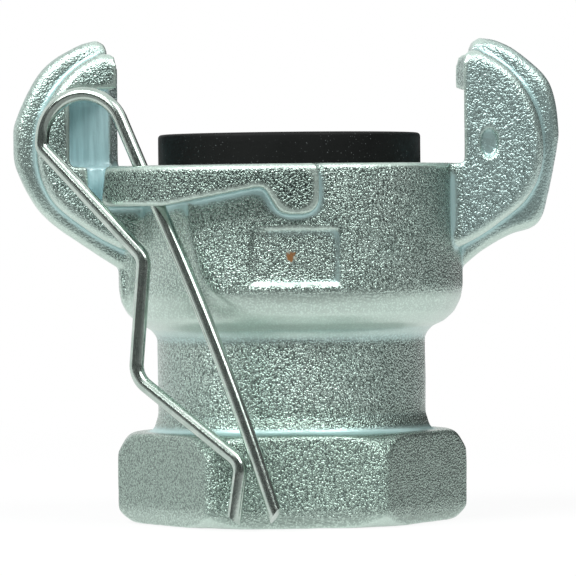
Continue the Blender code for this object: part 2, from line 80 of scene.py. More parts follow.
# Regions of the casting. Each row names a measure, where the region starts and where it is whole.
REGIONS = {
    "claw": (("radius", 0.0208, 0.0222), ("height", 0.0300, 0.0340),
             ("beside", 0.0150, 0.0190), ("depth", 0.0098, 0.0088)),
    "claw_edge": (("beside", 0.0270, 0.0290),),
    "claw_rim": (("depth", 0.0050, 0.0042),),
    "closed_claw": (("back", 0.0020, -0.0020),),
    "off_claw": (("depth", 0.0088, 0.0098),),
    "cored": (("beside", 0.0216, 0.0219), ("radius", 0.0280, 0.0277),
              ("back", -0.0056, -0.0051), ("back", 0.0079, 0.0076),
              ("above_face", -0.0055, -0.0050), ("above_face", 0.0097, 0.0093)),
    "seat": (("radius", 0.0205, 0.0196), ("height", 0.0367, 0.0377)),
    "bore": (("radius", 0.0136, 0.0130),),
    "outside": (("radius", 0.0125, 0.0135),),
    "socket": (("radius", 0.0146, 0.0121), ("height", 0.0184, 0.0168)),
    "ledge": (("radius", 0.0213, 0.0221), ("height", 0.0345, 0.0355)),
    "relief": (("radius", 0.0204, 0.0199), ("radius", 0.0168, 0.0175),
               ("height", 0.0235, 0.0255), ("height", 0.0390, 0.0380)),
    "relief_edge": (("along", -0.0205, -0.0195), ("along", -0.0030, -0.0040),
                    ("height", 0.0225, 0.0240), ("height", 0.0372, 0.0362),
                    ("radius", 0.0165, 0.0175)),
    # The head's underside, the foot and the lower sides are regions of painted sheen, a painted
    # reflection of the floor
    "under_head": (("height", 0.0288, 0.0268), ("height", 0.0225, 0.0235)),
    "hexagon": (("height", 0.0150, 0.0120),),
    "foot": (("height", 0.0028, 0.0012),),
    "facing_down": (("down", 0.15, 0.60),),
}

# How strongly each region counts in the masks that the material reads
# The hollow measure carries painted shade into fillets and hollows
HOLLOW_SPAN = 0.0008
RELIEF_EDGE_FADE = 0.75
# Weights of the painted sheen: the head's underside and the foot as a painted reflection of the
# floor, the relief painted lighter, the dimple rims as painted highlights
UNDER_HEAD_PAINTED_SHEEN = 0.85
FOOT_PAINTED_SHEEN = 0.6
RELIEF_PAINTED_SHEEN = 0.55
DIMPLE_PAINTED_HIGHLIGHT = 0.7
OPEN_CLAW_SHARE = 0.35

# The front's sunk panel
PANEL_HALF_WIDTH = 0.00545
PANEL_BOTTOM = 0.0284
PANEL_TOP = 0.0353
PANEL_DEPTH = 0.00038
PANEL_TOP_SLOPE = 0.00040
PANEL_SIDE_SLOPE = 0.00060
PANEL_MARGIN = 0.0006
PANEL_INNER_RADIUS = 0.0195
SILL_HEIGHT = 0.00060
SILL_STEP_HEIGHT = 0.0003
SILL_SLOPE_SHARE = 0.8
SILL_STEP_SHARE = 0.2
# Fades of the painted highlight on the sill
SILL_SIDE_FADE = 0.0002
SILL_FOOT_FADE = 0.0001
SILL_TOP_FADE = 0.0001

# The dimple in each claw's closed face. A reach of 1 is its oval edge.
DIMPLE_OUT = 0.0029
DIMPLE_UP = 0.0023
DIMPLE_HALF_WIDTH = 0.00115
DIMPLE_HALF_LENGTH = 0.0019
DIMPLE_DEPTH = 0.00045
DIMPLE_LIP = 0.00010
DIMPLE_REACH = 1.7
DIMPLE_LAYER = 0.0012
DIMPLE_WALL = 0.25
DIMPLE_LIP_AT = (1.2, 0.16)
# Where the painted highlight along the dimple's rim lies
DIMPLE_RIM_AT = (0.95, 0.14)

# Socket and its thread
SOCKET_RADIUS = 0.0120
SOCKET_TAPER = 1 / 32
THREAD_DEPTH = 0.00115
THREAD_PITCH = 0.001814
THREAD_HALF_ROOT = 0.475 * THREAD_PITCH
THREAD_HALF_CREST = 0.07 * THREAD_PITCH
THREAD_SUNK = 0.00008
THREAD_START = 0.0004
THREAD_TURNS = 9
THREAD_STEPS = 72
THREAD_RUN_IN_TURNS = 0.5
THREAD_RUN_OUT_TURNS = 0.6
THREAD_END_RISE = 0.03

# Washer
WASHER_RADIUS = 0.01586
WASHER_BORE_RADIUS = 0.0103
WASHER_FOOT = 0.03825
WASHER_TOP = 0.0467
WASHER_EDGE = 0.00045
WASHER_EDGE_STEPS = 5
WASHER_BEAD_RISE = 0.0011
WASHER_BEAD_HEIGHT = 0.0017
WASHER_BEAD_SLOPE_END = 0.0028
WASHER_WALL_LINES = (WASHER_TOP - 0.0012, 0.0427)
WASHER_BORE_LINE = 0.0420
WASHER_STEPS = 160
WASHER_SHARP_ANGLE = math.radians(32)

# Clip, in its own frame: sideways, across, up the straight leg
WIRE_RADIUS = 0.00085
LEG_BELOW_HOLE = 0.0426
LEG_BOW = 0.00065
LEG_STEPS = 24
LOOP_CENTRE = (0.0055, 0.0085)
LOOP_RADIUS = 0.0052
LOOP_END = math.radians(25)
LOOP_STEPS = 36
RETURN_BENDS = (
    (0.01075, 0.0096, 0.0012), (0.0037, -0.0077, 0.0022), (0.0100, -0.0203, 0.0030),
    (0.0016, -0.0347, 0.0022),
)
RETURN_END = (0.00515, -0.0409)
BEND_STEPS = 10
CLIP_TURN = math.radians(21.0)
WIRE_BEVEL_STEPS = 8
WIRE_SHARP_ANGLE = math.radians(40)
LEG_END_SLANT = 0.75
RETURN_END_SLANT = -0.6
END_LENGTH = 0.006
MERGE_DISTANCE = 0.000001
CUT_TOLERANCE = 0.0000001

# The part of a noise's values that patches and finer changes are read from
PATCH_RANGE = (0.35, 0.65)
FINE_RANGE = (0.3, 0.7)

# Plated iron: sizes of its patterns, and the rust spot in the panel
SAND_SIZE = 0.00021
CELL_SIZE = 0.00027
CLOUD_SIZE = 0.0060
STREAK_SIZE = 0.00060
STREAK_STRETCH = (1, 1, 0.10)
CLAW_SAND_SIZE = 0.00042
RUST_SPOT = (-0.0005, -0.0203, 0.0320)
RUST_RADIUS = 0.00135
RUST_FRAY_SIZE = 0.0007
RUST_FRAY = 0.0016
RUST_FADE = 0.0001

# Plated iron: colours
PLATE_TINTS = ((0.44, 0.57, 0.515), (0.50, 0.62, 0.565))
# Painted shade: the hexagon and the ledge's face are coloured darker than the rest of the plating
HEXAGON_SHADE_TINT = (0.36, 0.475, 0.415)
LEDGE_SHADE_TINT = (0.30, 0.395, 0.35)
CLAW_TINT = (0.38, 0.51, 0.49)
# Painted sheen and painted highlights: the lighter colour of lower sides, edges, the sill, the
# dimple rims and the foot
PAINTED_SHEEN_TINT = (0.59, 0.72, 0.65)
# Painted shade in hollows and fillets, a cool teal
HOLLOW_SHADE_TINT = (0.40, 0.58, 0.57)
CORED_TINTS = ((0.42, 0.62, 0.64), (0.58, 0.80, 0.82))
# Painted shade in the low pits between the grains, on the body, the claws and the ledge
PIT_SHADE_TINT = (0.15, 0.20, 0.18)
CLAW_PIT_SHADE_TINT = (0.22, 0.295, 0.28)
LEDGE_PIT_SHADE_TINT = (0.06, 0.08, 0.075)
RUST_TINT = (0.19, 0.09, 0.03)

# Plated iron: how its masks are read and weighed
HOLLOW_RANGE = (0.55, 0.74)
# The crest, the convex end of the hollow measure, takes painted highlights along rounded edges
CREST_RANGE = (0.34, 0.16)
CREST_HIGHLIGHT_SHARE = 0.8
CREST_ON_HEXAGON = 0.3
CREST_OFF_LEDGE = 1.2
BRIGHT_SMOOTH = 0.85
RIM_SMOOTH = 0.55
SAND_HEIGHT = 0.9
CELL_HEIGHT = -0.35
CLAW_SAND_HEIGHT = 1.2
GAP_RANGE = (0.14, 0.35)
PLATE_ROUGHNESS = (0.21, 0.34)
CORED_METALLIC = 0.3
CLAW_PALE = 0.65
CREST_PALE = 0.6
PALE_SHARE = 0.4
BUMP_DEPTH = 0.00018
SMOOTH_BUMP = 0.16
CLAW_BUMP = 0.66

# Rubber
RUBBER_TINTS = ((0.0030, 0.0036, 0.0034), (0.0052, 0.0060, 0.0057))
RUBBER_SPECK_TINT = (0.20, 0.22, 0.22)
RUBBER_SPECK_RANGE = (0.71, 0.76)
RUBBER_SPECK_SHARE = 0.5
RUBBER_CLOUD_SIZE = 0.003
RUBBER_SPECK_SIZE = 0.00022
RUBBER_BUMP_SIZE = 0.0005
RUBBER_BUMP_DEPTH = 0.00002
RUBBER_ROUGHNESS = (0.50, 0.68)
RUBBER_SPECULAR = 0.16

# Plated wire
WIRE_TINTS = ((0.42, 0.51, 0.46), (0.55, 0.63, 0.58))
WIRE_CLOUD_SIZE = 0.0022
WIRE_FINE_SIZE = 0.00030
WIRE_BUMP_DEPTH = 0.000006
WIRE_ROUGHNESS = (0.13, 0.22)
WIRE_METALLIC = 0.96

# Stage
WORLD_LEVEL = 0.6
STAGE_TARGET = (0, 0, 0.03)
FLOOR_SIZE = 6
FLOOR_DROP = 0.0001
FLOOR_TINT = (0.86, 0.87, 0.87)
FLOOR_ROUGHNESS = 0.9
FLOOR_WHITE_REACH = (0.05, 0.30)
FLOOR_WHITE_SHARE = (0.90, 1.0)
FLOOR_CARD_SIZE = (1.0, 0.8)
FLOOR_CARD_PLACE = (0, -0.45, 0.0004)
FLOOR_CARD_SHADE = 0.24
CARD_DISTANCE = 0.85
CARD_HEIGHT = 1.1
# Name, azimuth, width and shade
CARDS = (
    ("front_card", 0, 0.95, 0.04),
    ("left_card", -56, 0.85, 0.05),
    ("right_card", 58, 0.90, 0.05),
    ("far_right_card", 112, 0.85, 0.08),
    ("back_right_card", 152, 0.60, 0.10),
)
LAMP_DISTANCE = 0.8
# Name, azimuth, elevation, size and watts
LAMPS = (
    ("left_lamp", -44, 42, (0.50, 0.50), 5.6),
    ("right_lamp", 38, 44, (0.40, 0.45), 3.5),
)


def link(obj):
    bpy.context.scene.collection.objects.link(obj)
    return obj


def smoothstep(low, high, value):
    share = np.clip((value - low) / (high - low), 0, 1)
    return share * share * (3 - 2 * share)


def bell(value, middle, width):
    return np.exp(-((value - middle) / width) ** 2)


# Meshes

def read_array(items, name, width, kind=float):
    """One property of a mesh's points or edges, a row for each."""
    values = np.zeros(len(items) * width, kind)
    items.foreach_get(name, values)
    return values.reshape(-1, width)


def write_points(mesh, points):
    mesh.vertices.foreach_set("co", points.astype(np.float32).ravel())
    mesh.update()


def read_normals(mesh):
    return read_array(mesh.vertex_normals, "vector", 3)


def store(mesh, name, values):
    """Keep one number a point, for the material to read."""
    attribute = mesh.attributes.new(name, "FLOAT", "POINT")
    attribute.data.foreach_set("value", values.astype(np.float32))


def evaluated_mesh(obj, name):
    depsgraph = bpy.context.evaluated_depsgraph_get()
    mesh = bpy.data.meshes.new_from_object(obj.evaluated_get(depsgraph))
    mesh.name = name
    return mesh


def voxel_mesh(node, name, voxel):
    """The node's shape as an even, closed mesh of small quads."""
    source = link(bpy.data.objects.new(name + "_source", frame["nodes"][node].data.copy()))
    remesh = source.modifiers.new("voxels", "REMESH")
    remesh.mode = "VOXEL"
    remesh.voxel_size = voxel
    mesh = evaluated_mesh(source, name)
    bpy.data.objects.remove(source)
    return mesh


def thinned(obj, triangles):
    """Fewer faces where the shape is flat, down to a count of triangles."""
    decimate = obj.modifiers.new("thinned", "DECIMATE")
    decimate.ratio = triangles / (2 * len(obj.data.polygons))
    mesh = evaluated_mesh(obj, obj.data.name)
    obj.modifiers.remove(decimate)
    obj.data = mesh
    mesh.shade_smooth()
    return obj


def relax(points, edges, weight, passes):
    """Move each point towards the mean of its neighbours, by its own weight."""
    first, second = edges[:, 0], edges[:, 1]
    count = len(points)
    links = np.bincount(first, minlength=count) + np.bincount(second, minlength=count)
    for _ in range(passes):
        total = np.stack([
            np.bincount(first, points[second, axis], count)
            + np.bincount(second, points[first, axis], count) for axis in range(3)], axis=1)
        points = points + weight[:, None] * (total / links[:, None] - points)
    return points


def noise_at(points, size, seed):
    """Smooth noise of about -1 to 1, whose features measure about size."""
    shift = Vector([seed * step for step in NOISE_SHIFT])
    return np.array([noise.noise(Vector(point) / size + shift) for point in points])


def join_sections(shape, here, after):
    """A band of four-sided faces between two closed sections."""
    count = len(here)
    for index in range(count):
        other = (index + 1) % count
        shape.faces.new((here[index], after[index], after[other], here[other]))


def closed_object(name, shape):
    """An object from a closed bmesh, whose faces then all look outwards."""
    mesh = bpy.data.meshes.new(name)
    bmesh.ops.recalc_face_normals(shape, faces=shape.faces)
    shape.to_mesh(mesh)
    shape.free()
    return link(bpy.data.objects.new(name, mesh))


def arc(centre, radius, start, end, steps):
    angles = [start + (end - start) * step / steps for step in range(steps + 1)]
    return [(centre[0] + radius * math.cos(a), centre[1] + radius * math.sin(a)) for a in angles]


def shade_round(obj, sharp_angle):
    obj.data.shade_smooth()
    obj.data.set_sharp_from_angle(angle=sharp_angle)


# Casting

def measures(points):
    """What the regions are measured by, for each point."""
    x, y, z = points.T
    return {
        "radius": np.hypot(x, y),
        "height": z,
        "above_face": z - HEAD_FACE,
        "beside": np.abs(x),
        "depth": np.abs(y),
        "back": y * np.sign(x),
        "along": x * np.where(y < 0, 1, -1),
    }


def region(name, place):
    """1 inside a region of the casting, 0 outside it, soft between the two."""
    share = 1.0
    for measure, start, whole in REGIONS[name]:
        share = share * smoothstep(start, whole, place[measure])
    return share


def cast_body():
    """The casting with the soft edges, run-in corners and uneven skin of sand-cast iron."""
    mesh = voxel_mesh("coupling_body", "cast_body", CAST_VOXEL)
    points = read_array(mesh.vertices, "co", 3)
    edges = read_array(mesh.edges, "vertices", 2, np.int32)
    rough = measures(points)
    claw = region("claw", rough)
    machined = np.maximum(region("seat", rough), region("bore", rough))
    points = relax(points, edges, RELAX_STEP * (1 - MACHINED_KEEPS * machined), CAST_PASSES)
    claw_edge = claw * region("claw_edge", rough)
    points = relax(points, edges, RELAX_STEP * claw_edge, CLAW_EDGE_PASSES)
    soft_edge = region("relief_edge", measures(points))
    points = relax(points, edges, RELAX_STEP * soft_edge, RELIEF_PASSES)
    broad = relax(points, edges, np.full(len(points), RELAX_STEP), BROAD_PASSES)
    write_points(mesh, points)

    # Hollows, for painted shade, and lower sides, for a painted reflection of the floor, are
    # measured before the small forms are pressed in
    normals = read_normals(mesh)
    hollow = ((broad - points) * normals).sum(axis=1) * (1 - RELIEF_EDGE_FADE * soft_edge)
    down = region("facing_down", {"down": -normals[:, 2]})
    down = np.maximum(down, UNDER_HEAD_PAINTED_SHEEN * region("under_head", rough))
    down = down * region("outside", rough)

    widened = THREAD_DEPTH * region("socket", rough)
    points[:, :2] *= (1 + widened / rough["radius"])[:, None]
    points, sill = sunk_panel(points)
    points, right_dimple_highlight = pressed_dimple(points, 1)
    points, left_dimple_highlight = pressed_dimple(points, -1)
    write_points(mesh, points)

    uneven = sum(height * noise_at(points, size, seed) for height, size, seed in SKIN_WAVES)
    uneven = uneven * (1 - MACHINED_EVENNESS * machined)
    points = points + read_normals(mesh) * uneven[:, None]
    write_points(mesh, points)

    final = measures(points)
    # Painted sheen: lower sides, the sill, the dimple rims, the foot and the relief are painted
    # lighter, as a painted reflection of the floor and painted highlights
    bright = np.max([
        down, sill, DIMPLE_PAINTED_HIGHLIGHT * right_dimple_highlight, DIMPLE_PAINTED_HIGHLIGHT * left_dimple_highlight,
        FOOT_PAINTED_SHEEN * region("foot", final), RELIEF_PAINTED_SHEEN * region("relief", rough)], axis=0)
    closed = region("closed_claw", final)
    masks = {
        "hollow": np.clip(0.5 + hollow / HOLLOW_SPAN, 0, 1),
        "cored": region("cored", final),
        "bright": bright,
        "ledge": region("ledge", rough) * region("off_claw", final) * (1 - bright),
        "claw": claw * (OPEN_CLAW_SHARE + (1 - OPEN_CLAW_SHARE) * closed),
        "hexagon": region("hexagon", final),
        "rim": claw * region("claw_rim", final),
    }
    for name, values in masks.items():
        store(mesh, name, values)
    mesh.shade_smooth()
    return thinned(link(bpy.data.objects.new("cast_body", mesh)), CAST_TRIANGLES)


def sunk_panel(points):
    """The front panel's frame, and 1 on the sill along its lower edge, which gets a painted
    highlight.
    """
    across, height = np.abs(points[:, 0]), points[:, 2]
    radius = np.hypot(points[:, 0], points[:, 1])
    near = (across < PANEL_HALF_WIDTH + PANEL_MARGIN) & (points[:, 1] < 0)
    near &= radius > PANEL_INNER_RADIUS
    near &= (height > PANEL_BOTTOM - PANEL_MARGIN) & (height < PANEL_TOP + PANEL_MARGIN)
    slope = np.clip((height - PANEL_BOTTOM) / SILL_HEIGHT, 0, 1)
    step = np.clip((height - PANEL_BOTTOM - SILL_HEIGHT) / SILL_STEP_HEIGHT, 0, 1)
    sunk = SILL_SLOPE_SHARE * slope + SILL_STEP_SHARE * step
    sunk = np.minimum(sunk, np.clip((PANEL_TOP - height) / PANEL_TOP_SLOPE, 0, 1))
    sunk = np.minimum(sunk, np.clip((PANEL_HALF_WIDTH - across) / PANEL_SIDE_SLOPE, 0, 1))
    scale = (HEAD_RADIUS - PANEL_DEPTH * sunk) / radius
    points = points.copy()
    points[near, 0] *= scale[near]
    points[near, 1] *= scale[near]
    sill_top = PANEL_BOTTOM + SILL_HEIGHT
    sill = near * smoothstep(PANEL_HALF_WIDTH, PANEL_HALF_WIDTH - SILL_SIDE_FADE, across)
    sill = sill * smoothstep(PANEL_BOTTOM, PANEL_BOTTOM + SILL_FOOT_FADE, height)
    return points, sill * smoothstep(sill_top + SILL_TOP_FADE, sill_top, height)


def pressed_dimple(points, side):
    """A crisp oval pressed into one claw's closed face, and 1 along its raised rim, which gets a
    painted highlight.
    """
    out = (points[:, 0] * side - HEAD_RADIUS - DIMPLE_OUT) / DIMPLE_HALF_WIDTH
    up = (points[:, 2] - HEAD_FACE - DIMPLE_UP) / DIMPLE_HALF_LENGTH
    reach = np.hypot(out, up)
    near = (reach < DIMPLE_REACH) & (np.abs(points[:, 1] * side + CLAW_FACE) < DIMPLE_LAYER)
    sunk = DIMPLE_DEPTH * np.clip((1.0 - reach) / DIMPLE_WALL, 0, 1)
    lip = DIMPLE_LIP * bell(reach, *DIMPLE_LIP_AT)
    points = points.copy()
    points[near, 1] = side * (-CLAW_FACE + sunk - lip)[near]
    return points, near * bell(reach, *DIMPLE_RIM_AT)


def socket_thread():
    """One helical ridge on a tapered wall, which runs out at both of its ends."""
    shape = bmesh.new()
    last = THREAD_TURNS * THREAD_STEPS
    sections = []
    for step in range(last + 1):
        angle = 2 * math.pi * step / THREAD_STEPS
        rise = min(1, step / (THREAD_RUN_IN_TURNS * THREAD_STEPS) + THREAD_END_RISE,
                   (last - step) / (THREAD_RUN_OUT_TURNS * THREAD_STEPS) + THREAD_END_RISE)
        height = THREAD_START + THREAD_HALF_ROOT + THREAD_PITCH * step / THREAD_STEPS
        crest = THREAD_DEPTH * rise
        section = []
        for up, depth in ((-THREAD_HALF_ROOT, -THREAD_SUNK), (-THREAD_HALF_CREST, crest),
                          (THREAD_HALF_CREST, crest), (THREAD_HALF_ROOT, -THREAD_SUNK)):
            z = height + up
            r = SOCKET_RADIUS + THREAD_DEPTH - SOCKET_TAPER * z - depth
            section.append(shape.verts.new((r * math.cos(angle), r * math.sin(angle), z)))
        sections.append(section)
    for here, after in zip(sections, sections[1:]):
        join_sections(shape, here, after)
    shape.faces.new(sections[0])
    shape.faces.new(list(reversed(sections[-1])))
    return closed_object("socket_thread", shape)


# Washer

def turned_ring(name, profile, steps):
    """A closed ring turned about Z from a closed profile of (radius, height) points."""
    shape = bmesh.new()
    sections = []
    for step in range(steps):
        angle = 2 * math.pi * step / steps
        sections.append([shape.verts.new((r * math.cos(angle), r * math.sin(angle), z))
                         for r, z in profile])
    for here, after in zip(sections, sections[1:] + sections[:1]):
        join_sections(shape, here, after)
    return closed_object(name, shape)


def rubber_washer():
    """The ring with rounded upper rims, and its bead under the head's face."""
    outer, inner, top, foot = WASHER_RADIUS, WASHER_BORE_RADIUS, WASHER_TOP, WASHER_FOOT
    edge = WASHER_EDGE
    bead = outer + WASHER_BEAD_RISE
    profile = arc((outer - edge, top - edge), edge, math.pi / 2, 0, WASHER_EDGE_STEPS)
    profile += [(outer, height) for height in WASHER_WALL_LINES]
    profile += [(outer, foot + WASHER_BEAD_SLOPE_END), (bead, foot + WASHER_BEAD_HEIGHT),
                (bead, foot), (inner, foot), (inner, WASHER_BORE_LINE)]
    profile += arc((inner + edge, top - edge), edge, math.pi, math.pi / 2, WASHER_EDGE_STEPS)
    washer = turned_ring("rubber_washer", profile, WASHER_STEPS)
    shade_round(washer, WASHER_SHARP_ANGLE)
    return washer


# Clip

def clip_frame():
    """The clip's own frame from the record's joint: Z up its straight leg."""
    joint = frame["joints"][0]
    leg = Vector(joint["axis"]).normalized()
    sideways = Vector((-math.cos(CLIP_TURN), math.sin(CLIP_TURN), 0))
    sideways = (sideways - leg * sideways.dot(leg)).normalized()
    matrix = Matrix((sideways, leg.cross(sideways), leg)).transposed().to_4x4()
    matrix.translation = Vector(joint["pos_m"])
    return matrix


def bend(before, corner, after, radius):
    """An arc that touches both sides of a corner."""
    middle = Vector(corner)
    to_before = (Vector(before) - middle).normalized()
    to_after = (Vector(after) - middle).normalized()
    half_angle = to_before.angle(to_after) / 2
    setback = radius / math.tan(half_angle)
    centre = middle + (to_before + to_after).normalized() * (radius / math.sin(half_angle))
    first = middle + to_before * setback - centre
    last = middle + to_after * setback - centre
    start = math.atan2(first.y, first.x)
    return arc(centre, radius, start, start - first.angle_signed(last), BEND_STEPS)


def wire_route():
    """Points (sideways, up) along the wire's centre line, from the straight leg's foot."""
    route = []
    for step in range(LEG_STEPS + 1):
        share = step / LEG_STEPS
        route.append((-4 * LEG_BOW * share * (1 - share), LEG_BELOW_HOLE * (share - 1)))
    route += arc(LOOP_CENTRE, LOOP_RADIUS, math.pi, LOOP_END, LOOP_STEPS)
    corners = [route[-1], *[(x, y) for x, y, _ in RETURN_BENDS], RETURN_END]
    for index, (_, _, radius) in enumerate(RETURN_BENDS):
        route += bend(corners[index], corners[index + 1], corners[index + 2], radius)
    return route + [RETURN_END]


def near_end(item, end):
    """Whether a point, edge or face of the wire lies near one of its ends."""
    verts = [item] if isinstance(item, bmesh.types.BMVert) else item.verts
    return all((Vector((v.co.x, v.co.z)) - Vector(end)).length < END_LENGTH for v in verts)


def shear_end(shape, end, inward, slant):
    """Cut one end of the wire on a slant, and close it with a flat face."""
    along = (Vector(inward) - Vector(end)).normalized()
    normal = Vector((-along.x - slant * along.y, 0, -along.y + slant * along.x)).normalized()
    spot = Vector((end[0], 0, end[1])) + Vector((along.x, 0, along.y)) * WIRE_RADIUS * abs(slant)
    geometry = shape.verts[:] + shape.edges[:] + shape.faces[:]
    near = [item for item in geometry if near_end(item, end)]
    cut = bmesh.ops.bisect_plane(shape, geom=near, plane_co=spot, plane_no=normal,
                                 clear_outer=True, dist=CUT_TOLERANCE)
    rim = [item for item in cut["geom_cut"] if isinstance(item, bmesh.types.BMEdge)]
    bmesh.ops.contextual_create(shape, geom=rim)


def wire_clip():
    """The hairpin clip, a round wire whose two ends are sheared off on a slant."""
    route = wire_route()
    curve = bpy.data.curves.new("wire_clip", "CURVE")
    curve.dimensions = "3D"
    curve.bevel_depth = WIRE_RADIUS
    curve.bevel_resolution = WIRE_BEVEL_STEPS
    curve.use_fill_caps = True
    spline = curve.splines.new("POLY")
    spline.points.add(len(route) - 1)
    for point, (sideways, up) in zip(spline.points, route):
        point.co = (sideways, 0, up, 1)
    source = link(bpy.data.objects.new("wire_source", curve))
    mesh = evaluated_mesh(source, "wire_clip")
    bpy.data.objects.remove(source)
    shape = bmesh.new()
    shape.from_mesh(mesh)
    bmesh.ops.remove_doubles(shape, verts=shape.verts, dist=MERGE_DISTANCE)
    shear_end(shape, route[0], route[1], LEG_END_SLANT)
    shear_end(shape, route[-1], route[-2], RETURN_END_SLANT)
    bmesh.ops.recalc_face_normals(shape, faces=shape.faces)
    shape.to_mesh(mesh)
    shape.free()
    clip = link(bpy.data.objects.new("wire_clip", mesh))
    mesh.transform(clip_frame())
    shade_round(clip, WIRE_SHARP_ANGLE)
    return clip


# Materials

class Nodes:
    """A short way to build a material's nodes."""

    def __init__(self, name):
        self.material = bpy.data.materials.new(name)
        self.material.use_nodes = True
        self.tree = self.material.node_tree
        self.shader = self.tree.nodes["Principled BSDF"]

    @property
    def place(self):
        return self.tree.nodes.new("ShaderNodeTexCoord").outputs["Object"]

    def feed(self, socket, value):
        """Link a node's output to a socket, or set the socket's own value."""
        if isinstance(value, bpy.types.NodeSocket):
            self.tree.links.new(value, socket)
        else:
            socket.default_value = value

    def set(self, node, **inputs):
        for name, value in inputs.items():
            self.feed(node.inputs[name.replace("_", " ")], value)

    def add(self, kind, **inputs):
        node = self.tree.nodes.new("ShaderNode" + kind)
        self.set(node, **inputs)
        return node

    def operate(self, kind, operation, *values):
        """A node that reckons with its inputs in their order."""
        node = self.add(kind)
        node.operation = operation
        for socket, value in zip(node.inputs, values):
            self.feed(socket, value)
        return node

    def maths(self, operation, first, second):
        return self.operate("Math", operation, first, second).outputs["Value"]

    def times(self, first, second):
        return self.maths("MULTIPLY", first, second)

    def highest(self, value, *others):
        for other in others:
            value = self.maths("MAXIMUM", value, other)
        return value

    def stored(self, name):
        node = self.add("Attribute")
        node.attribute_name = name
        return node.outputs["Fac"]

    def noise(self, size, detail, roughness, place=None):
        node = self.add("TexNoise", Scale=1 / size, Detail=detail, Roughness=roughness,
                        Vector=place or self.place)
        return node.outputs["Fac"]

    def cells(self, size):
        """Distance to the nearest of many scattered points, 0 at each."""
        node = self.add("TexVoronoi", Scale=1 / size, Vector=self.place)
        return node.outputs["Distance"]

    def stretched(self, scale):
        """The object's coordinates, drawn out along the axes whose scale is small."""
        return self.operate("VectorMath", "MULTIPLY", self.place, scale).outputs["Vector"]

    def distance(self, spot):
        return self.operate("VectorMath", "DISTANCE", self.place, spot).outputs["Value"]

    def remap(self, value, start, target):
        """The value's share of one range, as the same share of another, held to its ends."""
        node = self.add("MapRange", Value=value, From_Min=start[0], From_Max=start[1],
                        To_Min=target[0], To_Max=target[1])
        return node.outputs["Result"]

    def mix(self, factor, first, second):
        """The first colour where the factor is 0 and the second where it is 1."""
        node = self.add("Mix")
        node.data_type = "RGBA"
        sockets = {socket.identifier: socket for socket in node.inputs}
        self.feed(sockets["Factor_Float"], factor)
        for name, colour in (("A_Color", first), ("B_Color", second)):
            self.feed(sockets[name], (*colour, 1) if isinstance(colour, tuple) else colour)
        return next(s for s in node.outputs if s.identifier == "Result_Color")

    def bump(self, height, depth, strength=1.0):
        node = self.add("Bump", Height=height, Distance=depth, Strength=strength)
        return node.outputs["Normal"]


